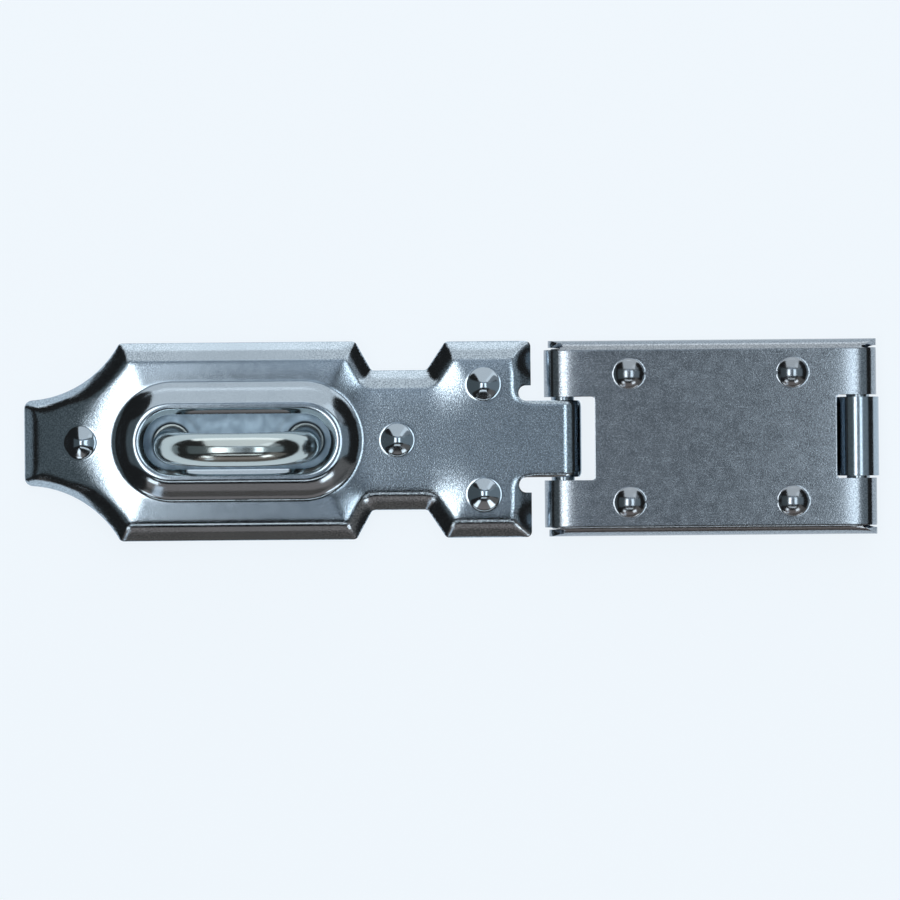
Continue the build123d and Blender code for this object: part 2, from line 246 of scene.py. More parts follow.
def blank(name, x_low, x_high, y_half, x_cells, y_cells, outline, holes=()):
    """A flat grid cut along an outline. Distances count in cells, so that the grid may be finer one way."""
    bpy.ops.object.select_all(action="DESELECT")
    bpy.ops.mesh.primitive_grid_add(x_subdivisions=x_cells, y_subdivisions=y_cells, size=2)
    obj = added(name)
    mesh = obj.data
    spot = points_of(obj)
    plan = np.column_stack([(x_low + x_high) / 2 + spot[:, 0] * (x_high - x_low) / 2, spot[:, 1] * y_half])
    cell = np.array([(x_high - x_low) / x_cells, 2 * y_half / y_cells])
    depth, nearest = edge_distance(np.asarray(outline) / cell, plan / cell)
    for hole in holes:
        in_hole, edge = edge_distance(np.asarray(hole) / cell, plan / cell)
        closer = -in_hole < depth
        depth = np.where(closer, -in_hole, depth)
        nearest = np.where(closer[:, None], edge, nearest)
    removed = depth <= -DROP_OUTSIDE
    corners = np.zeros(len(mesh.loops), int)
    mesh.loops.foreach_get("vertex_index", corners)
    quads = corners.reshape(-1, 4)
    on_cut = np.zeros(len(plan), bool)
    on_cut[quads[removed[quads].any(axis=1)]] = True
    moved = ((depth < SNAP_INSIDE) | on_cut) & ~removed
    plan[moved] = nearest[moved] * cell
    mesh.vertices.foreach_set("co", np.column_stack([plan, np.zeros(len(plan))]).ravel())
    mesh.vertices.foreach_set("select", removed)
    mesh.edges.foreach_set("select", np.zeros(len(mesh.edges), bool))
    mesh.polygons.foreach_set("select", np.zeros(len(mesh.polygons), bool))
    bpy.ops.object.mode_set(mode="EDIT")
    bpy.ops.mesh.select_mode(type="VERT")
    bpy.ops.mesh.delete(type="VERT")
    bpy.ops.object.mode_set(mode="OBJECT")
    clean(obj)
    print(name, "blank points:", len(mesh.vertices))
    return obj


def curl_edge(obj, x, axis_x, low, high, turn):
    """Rolls the sheet's end edge at X, between two widths, round the hinge axis."""
    near = 0.002 * MM

    def on_edge(px, py, pz):
        return (abs(px - x) < near) & (py > low - near) & (py < high + near) & (pz > AXIS_Z)

    bpy.ops.object.mode_set(mode="EDIT")
    bpy.ops.mesh.select_mode(type="EDGE")
    select_where(obj, on_edge)
    spin(axis_x, AXIS_Z, math.radians(turn), CURL_STEPS)
    bpy.ops.object.mode_set(mode="OBJECT")


def thicken(obj, sheet):
    """Gives the sheet its thickness inwards and takes the sharpness off its cut edges."""
    clean(obj)
    top = max(obj.data.polygons, key=lambda p: p.center.z * abs(p.normal.z))
    if top.normal.z < 0:
        turn_over(obj)
    apply_modifier(obj, "SOLIDIFY", thickness=sheet, offset=-1, use_even_offset=True)
    break_edges(obj, SHEET_EDGE, sharper_than=60)


# %% [markdown]
# ## Round pips
# Small round noses are pressed out of the strap and the link plate. On the strap each is a low cone with
# a soft tip and a crisp foot. On the link plate the punch was a ball, so each is a cap of a sphere.

# %% The pips' heights
PIP_H = 1.25 * MM
PIP_D = 7.2 * MM
PIP_NOSE = 0.4
LINK_PIP_D = 6.6 * MM


def pip_height(x, y, cx, cy, diameter):
    """Height of one pip above the sheet at each place: a cone with a well rounded nose."""
    r = np.hypot(x - cx, y - cy) / (diameter / 2)
    foot = math.hypot(1, PIP_NOSE)
    return np.clip(foot - np.hypot(r, PIP_NOSE), 0, None) * PIP_H / (foot - PIP_NOSE)


def dome_height(x, y, cx, cy, diameter):
    """Height of one ball-shaped pip above the sheet at each place: a cap of a sphere."""
    ball_r = (diameter**2 / 4 + PIP_H**2) / (2 * PIP_H)
    out = np.minimum(np.hypot(x - cx, y - cy), diameter / 2)
    return np.sqrt(ball_r**2 - out**2) - (ball_r - PIP_H)


# %% [markdown]
# ## The strap
# The strap is the big pressed plate: a sloping flange runs all round it, a raised collar stands round
# the slot, the tip droops towards the surface, and a tongue at the other end is rolled round the hinge
# pin. One grid carries all of it. The flange rolls down with the distance from the outline, so its
# corners mitre by themselves. Beside the tip it is narrow and steep, and the lip at the very end is
# gentle. Inside the flange the whole face is a little crowned.

# %% Strap sizes
WING_U = 7.05 * MM
WING_END_U = 26.0 * MM
WING_W = LINK_HALF + 0.1 * MM
NECK_U = 30.2 * MM
NECK_END_U = 42.4 * MM
NECK_W = 15.5 * MM
SHOULDER_U = 46.0 * MM
SHOULDER_END_U = 98.4 * MM
SHOULDER_W = LINK_HALF + 0.3 * MM
TIP_U = STRAP_AXIS_X - TIP_X
TIP_W = 9.5 * MM
TIP_SIDE_R = 24.2 * MM
TONGUE_HALF = 8.5 * MM
RELIEF_W = 3.4 * MM
RELIEF_DEEP = 2.8 * MM
CORNER_R = 1.2 * MM
NECK_CORNER_R = 1.0 * MM
TIP_CORNER_R = 1.8 * MM
FLANGE_W = 3.6 * MM
FLANGE_SLOPE = 0.54
FLANGE_ROLL = 1.4
FLANGE_REACH = 1.5
STEEP_U = 105.0 * MM
STEEP_RUN = 5.0 * MM
STEEP_W = 2.0 * MM
STEEP_SLOPE = 0.95
HIP_W = 7.0 * MM
HIP_SLOPE = 0.16
LIP_W = 2.4 * MM
LIP_SLOPE = 0.30
PILLOW_W = 14.0 * MM
PILLOW_DEEP = 1.3 * MM
TIP_PILLOW_LOSS = 0.2
DROOP_U = 98.5 * MM
DROOP_R = 58.0 * MM
DROOP_ANGLE = 11.0
SLOT_L = 41.5 * MM
SLOT_W = 12.2 * MM
COLLAR_W = 6.6 * MM
COLLAR_H = 2.5 * MM
COLLAR_CREST = 2.2 * MM
COLLAR_BULGE = 1.4
COLLAR_LIP = 1.4 * MM
COLLAR_LIP_TURN = 0.97
TIP_PIP_U = 107.2 * MM
NECK_PIP_U = 36.8 * MM
WING_PIP_U = 17.6 * MM
WING_PIP_Y = 12.2 * MM
KNUCKLE_WRAP = 300

# %% Strap outline
du = TIP_U - SHOULDER_END_U
dw = SHOULDER_W - TIP_W
chord = math.hypot(du, dw)
rise = math.sqrt(TIP_SIDE_R**2 - chord**2 / 4)
arc_u = (SHOULDER_END_U + TIP_U) / 2 + rise * dw / chord
arc_w = (SHOULDER_W + TIP_W) / 2 + rise * du / chord
start = math.degrees(math.atan2(SHOULDER_W - arc_w, SHOULDER_END_U - arc_u) + CORNER_R / TIP_SIDE_R)
end = math.degrees(math.atan2(TIP_W - arc_w, TIP_U - arc_u) - TIP_CORNER_R / TIP_SIDE_R)
hollow = arc(arc_u, arc_w, TIP_SIDE_R, start, end, 30)
corners = [(WING_END_U, WING_W), (NECK_U, NECK_W), (NECK_END_U, NECK_W), (SHOULDER_U, SHOULDER_W)]
corners += [(SHOULDER_END_U, SHOULDER_W), hollow[0]]
corner_r = [CORNER_R, NECK_CORNER_R, NECK_CORNER_R, CORNER_R, CORNER_R]
wing_corner = (WING_U, WING_W)
side = []
for before, corner, after, r in zip([wing_corner] + corners, corners, corners[1:], corner_r):
    side += rounded(before, corner, after, r)
side += hollow + rounded(hollow[-1], (TIP_U, TIP_W), (TIP_U, 0), TIP_CORNER_R)
mouth = TONGUE_HALF + RELIEF_W
relief_u = WING_U + RELIEF_DEEP - RELIEF_W / 2
relief = arc(relief_u, mouth - RELIEF_W / 2, RELIEF_W / 2, -90, 90, 12)
wing_end = [(0, TONGUE_HALF)] + relief + [(WING_U, mouth)]
wing_end += rounded((WING_U, mouth), wing_corner, corners[0], CORNER_R)
strap_outline = mirrored([(STRAP_AXIS_X - u, w) for u, w in wing_end + side])
sides_only = corners[:-1] + hollow + [(2 * TIP_U, TIP_W)]
long_sides = [(STRAP_AXIS_X + TIP_U, WING_W)] + [(STRAP_AXIS_X - u, w) for u, w in sides_only]
flange_outline = mirrored(long_sides)
straight = (SLOT_L - SLOT_W) / 2
slot_half = arc(SLOT_X + straight, 0, SLOT_W / 2, 0, 90, 24)
slot_half += arc(SLOT_X - straight, 0, SLOT_W / 2, 90, 180, 24)
slot_outline = mirrored(slot_half)
print("strap outline points:", len(strap_outline))


# %% Strap heights
def droop(u):
    """How far the top lies below its flat level towards the tip."""
    a = math.radians(DROOP_ANGLE)
    run = np.clip(u - DROOP_U, 0, None)
    bent = DROOP_R - np.sqrt(DROOP_R**2 - np.minimum(run, DROOP_R * math.sin(a)) ** 2)
    return bent + np.clip(run - DROOP_R * math.sin(a), 0, None) * math.tan(a)


def collar(x, y):
    """Height of the raised collar by the distance from the slot's edge."""
    off = np.maximum(np.abs(x - SLOT_X) - straight, 0)
    s = np.hypot(off, y) - SLOT_W / 2
    wall = 1 - np.clip((s - COLLAR_CREST) / (COLLAR_W - COLLAR_CREST), 0, 1) ** COLLAR_BULGE
    rolled = np.clip((COLLAR_LIP - s) / COLLAR_LIP, 0, COLLAR_LIP_TURN)
    return COLLAR_H * wall - COLLAR_LIP * (1 - np.sqrt(1 - rolled**2))


def blurred(height, passes):
    """Softens creases by averaging each point with its neighbours."""
    for _ in range(passes):
        for axis in (0, 1):
            edge = np.pad(height, [(1, 1) if i == axis else (0, 0) for i in (0, 1)], mode="edge")
            if axis == 0:
                height = (edge[:-2] + 2 * edge[1:-1] + edge[2:]) / 4
            else:
                height = (edge[:, :-2] + 2 * edge[:, 1:-1] + edge[:, 2:]) / 4
    return height


def look_up(height, x0, y0, step, x, y):
    """Reads a height map between its points."""
    fx = np.clip((x - x0) / step, 0, height.shape[0] - 1.001)
    fy = np.clip((y - y0) / step, 0, height.shape[1] - 1.001)
    ix, iy = fx.astype(int), fy.astype(int)
    fx, fy = fx - ix, fy - iy
    low = height[ix, iy] * (1 - fy) + height[ix, iy + 1] * fy
    high = height[ix + 1, iy] * (1 - fy) + height[ix + 1, iy + 1] * fy
    return low * (1 - fx) + high * fx


# %% Strap height map
STRAP_STEP = 0.2 * MM
MARGIN = 1 * MM
FLANGE_BLUR, PILLOW_BLUR, HIP_BLUR = 26, 30, 8
COLLAR_BLUR, DROOP_BLUR, PIP_BLUR = 12, 30, 1
STRAP_PIPS = ((TIP_PIP_U, 0), (NECK_PIP_U, 0), (WING_PIP_U, WING_PIP_Y), (WING_PIP_U, -WING_PIP_Y))
map_x = np.arange(TIP_X - MARGIN, STRAP_AXIS_X + MARGIN, STRAP_STEP)
map_y = np.arange(-SHOULDER_W - MARGIN, SHOULDER_W + MARGIN, STRAP_STEP)
grid_x, grid_y = np.meshgrid(map_x, map_y, indexing="ij")
places = np.column_stack([grid_x.ravel(), grid_y.ravel()])
from_side = edge_distance(flange_outline, places)[0].reshape(grid_x.shape)
grid_u = STRAP_AXIS_X - grid_x
along_tip = np.clip((grid_u - SHOULDER_END_U) / (TIP_U - SHOULDER_END_U), 0, 1)
steep = np.clip((grid_u - STEEP_U) / STEEP_RUN, 0, 1)
flange_w = FLANGE_W + (STEEP_W - FLANGE_W) * steep
slope = FLANGE_SLOPE + (STEEP_SLOPE - FLANGE_SLOPE) * steep
past_tongue = np.clip((np.abs(grid_y) - TONGUE_HALF) / (RELIEF_W / 2), 0, 1)
side_fall = np.clip(1 - from_side / flange_w, 0, FLANGE_REACH) ** FLANGE_ROLL * flange_w * slope
end_fall = np.clip(FLANGE_W - (grid_u - WING_U), 0, FLANGE_W + MARGIN) * slope * past_tongue
lip_fall = np.clip(LIP_W - (TIP_U - grid_u), 0, LIP_W + MARGIN) * LIP_SLOPE
from_tongue = np.clip((np.abs(grid_y) - TONGUE_HALF) / TONGUE_HALF, 0, 1)
from_end = grid_u - WING_U + (PILLOW_W + WING_U) * (1 - from_tongue)
inside = np.minimum(np.minimum(from_side, from_end), TIP_U - grid_u)
pillow = np.clip(1 - inside / PILLOW_W, 0, 1) ** 2 * (1 - TIP_PILLOW_LOSS * along_tip)
flange_fall = np.maximum(np.maximum(side_fall, end_fall), lip_fall)
hip = np.clip(HIP_W - inside, 0, HIP_W + MARGIN) * HIP_SLOPE * along_tip**2
strap_map = -blurred(flange_fall, FLANGE_BLUR) - blurred(pillow * PILLOW_DEEP, PILLOW_BLUR)
strap_map -= blurred(hip, HIP_BLUR)
strap_map += blurred(collar(grid_x, grid_y), COLLAR_BLUR) - blurred(droop(grid_u), DROOP_BLUR)
for pip_u, pip_y in STRAP_PIPS:
    strap_map += blurred(pip_height(grid_x, grid_y, STRAP_AXIS_X - pip_u, pip_y, PIP_D), PIP_BLUR)
print("strap height map:", strap_map.shape, "highest", round(strap_map.max() / MM, 2))

# %% Press, curl and thicken the strap
# The tongue's sides lie on grid lines, so that its curl starts from a clean edge.
LENGTH_CELLS = 352
HALF_CELLS = 65
TONGUE_CELLS = 25
strap_half = HALF_CELLS * TONGUE_HALF / TONGUE_CELLS
cells = (LENGTH_CELLS, 2 * HALF_CELLS)
strap = blank("strap", TIP_X, STRAP_AXIS_X, strap_half, *cells, strap_outline, [slot_outline])
points = points_of(strap)
points[:, 2] = TOP_Z + look_up(strap_map, map_x[0], map_y[0], STRAP_STEP, points[:, 0], points[:, 1])
put_points(strap, points)
curl_edge(strap, STRAP_AXIS_X, STRAP_AXIS_X, -TONGUE_HALF, TONGUE_HALF, KNUCKLE_WRAP)
thicken(strap, SHEET)
print("strap lowest point:", round(points_of(strap)[:, 2].min() / MM, 2))
settle(strap, "strap", "hasp_strap")

# %% [markdown]
# ## The link plate
# The link plate is cut flat and then folded: both long sides turn down as skirts, and four ears at its
# ends are rolled into knuckles. So the blank is drawn unfolded, with the slits that free the ears, and
# folded by a short formula. The plate bows down a little at both ends and so runs into the knuckles
# without a kink.

# %% Link sizes and outline
BEND_R = 2.6 * MM
SKIRT_LIFT = 0.4 * MM
SKIRT_SLIT = 0.5 * MM
SLIT_DEEP = 0.4 * MM
SKIRT_END_R = 3.2 * MM
STRAP_NOTCH = 7.05 * MM
NOTCH_HALF = 9.25 * MM
NOTCH_CORNER_R = 0.8 * MM
BASE_NOTCH_GAP = 0.3 * MM
LINK_PIP_X = 18.1 * MM
LINK_PIP_Y = 14.25 * MM
ROLL_LEAD = 14.0
LINK_BOW_POWER = 18
LINK_PIPS = [(pip_x, pip_y) for pip_x in (-LINK_PIP_X, LINK_PIP_X) for pip_y in (-LINK_PIP_Y, LINK_PIP_Y)]
flat_half = LINK_HALF - BEND_R
bend_length = BEND_R * math.pi / 2
blank_half = flat_half + bend_length + (TOP_Z - BEND_R - SKIRT_LIFT)
lead = math.radians(ROLL_LEAD)
ear_x = BASE_AXIS_X + KNUCKLE_R * math.sin(lead)
ear_z = AXIS_Z + KNUCKLE_R * math.cos(lead)
link_bow = ear_x * math.tan(lead) / LINK_BOW_POWER


def unfolded(y):
    """How far along the flat blank a place at half width Y on the bend lies."""
    return flat_half + BEND_R * math.asin((y - flat_half) / BEND_R)


def unfolded_drop(z):
    """How far along the flat blank a place at height Z on the bend or skirt lies."""
    drop = TOP_Z - z
    if drop < BEND_R:
        return flat_half + BEND_R * math.acos(1 - drop / BEND_R)
    return flat_half + bend_length + drop - BEND_R


slit_in = unfolded(LINK_HALF - SHEET - SKIRT_SLIT)
slit_out = unfolded(LINK_HALF - SHEET)
notch_x = STRAP_AXIS_X + STRAP_NOTCH
base_notch_x = BASE_AXIS_X - BORE_R - BASE_SHEET - BASE_NOTCH_GAP
corner = NOTCH_HALF - NOTCH_CORNER_R
left_end = [(notch_x, 0)] + arc(notch_x - NOTCH_CORNER_R, corner, NOTCH_CORNER_R, 0, 90, 6)
left_end += [(-ear_x, NOTCH_HALF), (-ear_x, slit_in)]
left_end += [(SLIT_DEEP - ear_x, slit_in), (SLIT_DEEP - ear_x, slit_out), (STRAP_AXIS_X, slit_out)]
left_round = arc(STRAP_AXIS_X, AXIS_Z, SKIRT_END_R, 90, 270, 24)
slit_drop = BEND_R - math.sqrt(BEND_R**2 - (BEND_R - SHEET) ** 2)
right_top = math.degrees(math.asin((TOP_Z - AXIS_Z - slit_drop) / KNUCKLE_R))
right_round = arc(BASE_AXIS_X, AXIS_Z, KNUCKLE_R, -90, right_top, 24)
skirt = [(x, unfolded_drop(z)) for x, z in left_round]
skirt += [(STRAP_AXIS_X, blank_half), (BASE_AXIS_X, blank_half)]
skirt += [(x, unfolded_drop(z)) for x, z in right_round]
right_end = [(ear_x - SLIT_DEEP, slit_out), (ear_x - SLIT_DEEP, slit_in), (ear_x, slit_in)]
right_end += [(ear_x, NOTCH_HALF)]
right_end += arc(base_notch_x + NOTCH_CORNER_R, corner, NOTCH_CORNER_R, 90, 180, 6) + [(base_notch_x, 0)]
link_outline = mirrored(left_end + skirt + right_end)
print("link blank half width:", round(blank_half / MM, 2))

# %% Cut, press, fold, curl and thicken the link plate
LINK_STEP = 0.4 * MM
LINK_ROWS = 232
cells_out = math.ceil(KNUCKLE_R / LINK_STEP) + 1
link_x = BASE_AXIS_X + cells_out * LINK_STEP
link = blank("link", -link_x, link_x, blank_half, round(2 * link_x / LINK_STEP), LINK_ROWS, link_outline)
points = points_of(link)
x, across = points[:, 0], points[:, 1]
turned = np.clip((np.abs(across) - flat_half) / BEND_R, 0, math.pi / 2)
below = np.clip(np.abs(across) - flat_half - bend_length, 0, None)
flat_y = np.minimum(np.abs(across), flat_half)
bow = link_bow * np.clip(1 - np.abs(x / ear_x) ** LINK_BOW_POWER, 0, 1) - (TOP_Z - ear_z)
z = TOP_Z + bow * np.cos(turned) - BEND_R * (1 - np.cos(turned)) - below
for pip_x, pip_y in LINK_PIPS:
    z = z + dome_height(x, across, pip_x, pip_y, LINK_PIP_D)
put_points(link, np.column_stack([x, np.sign(across) * (flat_y + BEND_R * np.sin(turned)), z]))
ear_low, ear_high = NOTCH_HALF, LINK_HALF - SHEET - SKIRT_SLIT
for low, high in ((ear_low, ear_high), (-ear_high, -ear_low)):
    curl_edge(link, -ear_x, STRAP_AXIS_X, low, high, -KNUCKLE_WRAP)
    curl_edge(link, ear_x, BASE_AXIS_X, low, high, KNUCKLE_WRAP)
thicken(link, SHEET)
settle(link, "link", "link_plate")

# %% [markdown]
# ## The base leaf
# The leaf under the link plate is screwed down. It is a plain plate of thicker sheet whose tongue rolls
# up round the base pin. A plane is divided across its width, the middle of its edge is drawn out and
# spun, and the holes are cut last.

# %% Screw hole cutters
SCREW_R = 2.5 * MM
SINK_DEEP = 1.2 * MM
PAST = 0.2 * MM
ROUND = 48


def bore(target, x, y, z, r_low, r_high, depth):
    """Cuts a straight or conical round hole that starts at height Z."""
    bpy.ops.object.select_all(action="DESELECT")
    bpy.ops.mesh.primitive_cone_add(
        vertices=ROUND, radius1=r_low, radius2=r_high, depth=depth, location=(x, y, z + depth / 2)
    )
    cutter = added("cutter")
    apply_modifier(target, "BOOLEAN", operation="DIFFERENCE", object=cutter, solver="EXACT")
    bpy.data.objects.remove(cutter)


def screw_holes(target, x, dx, dy, sheet):
    """Cuts four countersunk screw holes."""
    for sx in (-0.5, 0.5):
        for sy in (-0.5, 0.5):
            bore(target, x + sx * dx, sy * dy, -PAST, SCREW_R, SCREW_R, sheet + 2 * PAST)
            low = sheet - SINK_DEEP
            bore(target, x + sx * dx, sy * dy, low, SCREW_R, SCREW_R + SINK_DEEP + PAST, SINK_DEEP + PAST)


# %% Base leaf
BASE_TONGUE_HALF = 8.75 * MM
BASE_CORNER_R = 3.0 * MM
BASE_HINGE_GAP = 0.7 * MM
BASE_HOLES_DX = 36.0 * MM
BASE_HOLES_DY = 22.0 * MM
BASE_CURL_STEPS = 72
BASE_EDGE = 0.18 * MM
NEAR = 0.01 * MM
leaf_low, leaf_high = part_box("base_plate")
leaf_end = BASE_AXIS_X - KNUCKLE_R - BASE_HINGE_GAP
leaf_half = leaf_high[1]
bpy.ops.object.select_all(action="DESELECT")
bpy.ops.mesh.primitive_grid_add(x_subdivisions=1, y_subdivisions=3, size=2)
base = added("base_leaf")
points = points_of(base)
points[:, 0] = np.where(points[:, 0] < 0, leaf_low[0], leaf_end)
outer = np.abs(points[:, 1]) > 0.5
points[:, 1] = np.sign(points[:, 1]) * np.where(outer, leaf_half, BASE_TONGUE_HALF)
points[:, 2] = 0
put_points(base, points)
bpy.ops.object.mode_set(mode="EDIT")
bpy.ops.mesh.select_mode(type="EDGE")
select_where(base, lambda px, py, pz: (abs(px - leaf_end) < NEAR) & (abs(py) < BASE_TONGUE_HALF + NEAR))
bpy.ops.mesh.extrude_region_move(TRANSFORM_OT_translate={"value": (BASE_AXIS_X - leaf_end, 0, 0)})
select_where(base, lambda px, py, pz: abs(px - BASE_AXIS_X) < NEAR)
spin(BASE_AXIS_X, AXIS_Z, math.radians(-KNUCKLE_WRAP), BASE_CURL_STEPS)
bpy.ops.mesh.select_mode(type="VERT")
select_where(base, lambda px, py, pz: abs(abs(py) - leaf_half) < NEAR)
bpy.ops.mesh.bevel(affect="VERTICES", offset=BASE_CORNER_R, segments=8)
bpy.ops.object.mode_set(mode="OBJECT")
clean(base)
if sum(p.normal.z * p.area for p in base.data.polygons if p.center.x < leaf_end) > 0:
    turn_over(base)
apply_modifier(base, "SOLIDIFY", thickness=BASE_SHEET, offset=-1, use_even_offset=True)
screw_holes(base, 0, BASE_HOLES_DX, BASE_HOLES_DY, BASE_SHEET)
break_edges(base, BASE_EDGE, sharper_than=40)
put_points(base, np.clip(points_of(base), leaf_low, leaf_high))
settle(base, "fixed_plates", "base_plate")

# %% [markdown]
# ## Hinge pins
# Each pin is a plain rod with broken edges. It shows only at the slits beside the knuckles.

# %% Pins
PIN_CHAMFER = 0.26 * MM
PIN_ROUND = 64


def hinge_pin(name, node):
    """A rod with small chamfers, in the place of its CAD node."""
    low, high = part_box(node)
    x, y, z = middle(node)
    bpy.ops.object.select_all(action="DESELECT")
    bpy.ops.mesh.primitive_cylinder_add(
        vertices=PIN_ROUND,
        radius=PIN_R,
        depth=high[1] - low[1],
        location=(x, y, z),
        rotation=(math.pi / 2, 0, 0),
    )
    pin = added(name)
    break_edges(pin, PIN_CHAMFER, sharper_than=60, segments=3)
    settle(pin, "link", node)
    return pin


strap_pin = hinge_pin("strap_pin", "strap_hinge_pin")
base_pin = hinge_pin("base_pin", "base_hinge_pin")

# %% [markdown]
# ## The staple plate
# Under the strap lies a flat plate with round corners that carries the staple. Only its middle shows
# through the slot.

# %% Staple plate
STAPLE_CORNER_R = 14.0 * MM
STAPLE_HOLES_DX = 50.0 * MM
STAPLE_HOLES_DY = 18.0 * MM
BAR_R = 3.7 * MM
LEG_REACH = 14.9 * MM
LEG_GAP = 0.35 * MM
LEGS_X = (SLOT_X - LEG_REACH, SLOT_X + LEG_REACH)
RIVET_FLARE = 1.2 * MM
PLATE_EDGE = 0.2 * MM
plate_low, plate_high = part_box("staple_plate")
STAPLE_SHEET = plate_high[2] - plate_low[2]
bpy.ops.object.select_all(action="DESELECT")
bpy.ops.mesh.primitive_plane_add(size=2, location=(SLOT_X, 0, STAPLE_SHEET))
plate = added("staple_seat")
plate.scale = ((plate_high[0] - plate_low[0]) / 2, (plate_high[1] - plate_low[1]) / 2, 1)
bpy.ops.object.transform_apply(location=True, rotation=True, scale=True)
bpy.ops.object.mode_set(mode="EDIT")
bpy.ops.mesh.select_all(action="SELECT")
bpy.ops.mesh.bevel(affect="VERTICES", offset=STAPLE_CORNER_R, segments=24)
bpy.ops.object.mode_set(mode="OBJECT")
apply_modifier(plate, "SOLIDIFY", thickness=STAPLE_SHEET, offset=-1)
screw_holes(plate, SLOT_X, STAPLE_HOLES_DX, STAPLE_HOLES_DY, STAPLE_SHEET)
hole_r = BAR_R + LEG_GAP
for leg_x in LEGS_X:
    bore(plate, leg_x, 0, -PAST, hole_r, hole_r, STAPLE_SHEET + 2 * PAST)
    bore(plate, leg_x, 0, -PAST, hole_r + RIVET_FLARE + PAST, hole_r, RIVET_FLARE + PAST)
break_edges(plate, PLATE_EDGE, sharper_than=40)
settle(plate, "fixed_plates", "staple_plate")

# %% [markdown]
# ## The staple
# The staple is a round bar bent to an arch. By hand it is a circle that is drawn up, spun round the
# first bend, along the crown and round the second bend, and drawn down again. It leans a little in its
# loose riveted holes.

# %% Staple
STAPLE_H = 29.0 * MM
BEND_MID_R = 12.0 * MM
CROWN_R = 40.0 * MM
LEAN = 4.5
RIVET_GAP = 0.05 * MM
BEND_STEPS = 24
crown_z = STAPLE_H - BAR_R - CROWN_R
bend_x = LEG_REACH - BEND_MID_R
bend_z = crown_z + math.sqrt((CROWN_R - BEND_MID_R) ** 2 - bend_x**2)
crown_turn = math.atan2(bend_x, bend_z - crown_z)
bend_turn = math.pi / 2 - crown_turn
bpy.ops.object.select_all(action="DESELECT")
bpy.ops.mesh.primitive_circle_add(vertices=ROUND, radius=BAR_R, location=(LEGS_X[0], 0, RIVET_FLARE))
staple = added("staple_bar")
bpy.ops.object.transform_apply(location=True, rotation=True, scale=True)
bpy.ops.object.mode_set(mode="EDIT")
bpy.ops.mesh.select_mode(type="EDGE")
bpy.ops.mesh.select_all(action="SELECT")
bpy.ops.mesh.extrude_region_move(TRANSFORM_OT_translate={"value": (0, 0, bend_z - RIVET_FLARE)})
spin(SLOT_X - bend_x, bend_z, bend_turn, BEND_STEPS)
spin(SLOT_X, crown_z, 2 * crown_turn, BEND_STEPS)
spin(SLOT_X + bend_x, bend_z, bend_turn, BEND_STEPS)
bpy.ops.mesh.extrude_region_move(TRANSFORM_OT_translate={"value": (0, 0, RIVET_FLARE - bend_z)})
bpy.ops.object.mode_set(mode="OBJECT")
clean(staple)
apply_modifier(staple, "SUBSURF", levels=1, render_levels=1)
staple.rotation_euler = (math.radians(LEAN), 0, 0)
lean = staple.rotation_euler.to_matrix()
pivot = (SLOT_X, 0, STAPLE_SHEET / 2)
staple.location = Vector(pivot) - lean @ Vector(pivot)
only(staple)
bpy.ops.object.transform_apply(location=True, rotation=True, scale=True)
heads = []
head_r = BAR_R + LEG_GAP + RIVET_FLARE - RIVET_GAP
for leg_x in LEGS_X:
    bpy.ops.object.select_all(action="DESELECT")
    bpy.ops.mesh.primitive_cone_add(
        vertices=ROUND,
        radius1=head_r,
        radius2=head_r - RIVET_FLARE,
        depth=RIVET_FLARE,
        location=(leg_x, 0, RIVET_FLARE / 2),
    )
    heads.append(added("rivet_head"))
bpy.ops.object.select_all(action="DESELECT")
for part in heads + [staple]:
    part.select_set(True)
bpy.context.view_layer.objects.active = staple
bpy.ops.object.join()
settle(staple, "fixed_plates", "staple")

# %% [markdown]
# ## Zinc
# Bright zinc plating is a bluish grey metal with a fine grain from the sheet below it and many short
# hair scratches from handling. The grain is a small bump, which breaks up the edge of each reflection
# into sparkling points.


# %% Shader helpers
PIP_FADE = 1.25


def node_with(nodes, kind, **values):
    """A new shader node with these input values."""
    node = nodes.new(kind)
    for key, value in values.items():
        node.inputs[key.replace("_", " ")].default_value = value
    return node


def noise(nodes, links, place, scale, detail):
    """A shader value that wanders softly about a half."""
    cloud = node_with(nodes, "ShaderNodeTexNoise", Scale=scale, Detail=detail)
    links.new(place, cloud.inputs["Vector"])
    return cloud.outputs["Fac"]


def ranged(nodes, links, value, old_range, new_range):
    """A shader value stretched from one range to another."""
    low, high = old_range
    to_low, to_high = new_range
    node = node_with(nodes, "ShaderNodeMapRange", From_Min=low, From_Max=high, To_Min=to_low, To_Max=to_high)
    links.new(value, node.inputs["Value"])
    return node.outputs["Result"]


def distance_to(nodes, links, place, point):
    """A shader value: the distance to a point."""
    away = nodes.new("ShaderNodeVectorMath")
    away.operation = "DISTANCE"
    away.inputs[1].default_value = point
    links.new(place, away.inputs[0])
    return away.outputs["Value"]


def combined(nodes, links, operation, first, second):
    """A shader value worked out from two others."""
    both = nodes.new("ShaderNodeMath")
    both.operation = operation
    links.new(first, both.inputs[0])
    links.new(second, both.inputs[1])
    return both.outputs["Value"]


def off_the_pips(nodes, links, value, place, pips, radius):
    """Brings a shader value to 0 on the sheet's pips, where the punch has ironed the grain flat."""
    for x, y in pips:
        away = distance_to(nodes, links, place, (x, y, TOP_Z))
        outside = ranged(nodes, links, away, (radius, PIP_FADE * radius), (0, 1))
        value = combined(nodes, links, "MULTIPLY", value, outside)
    return value


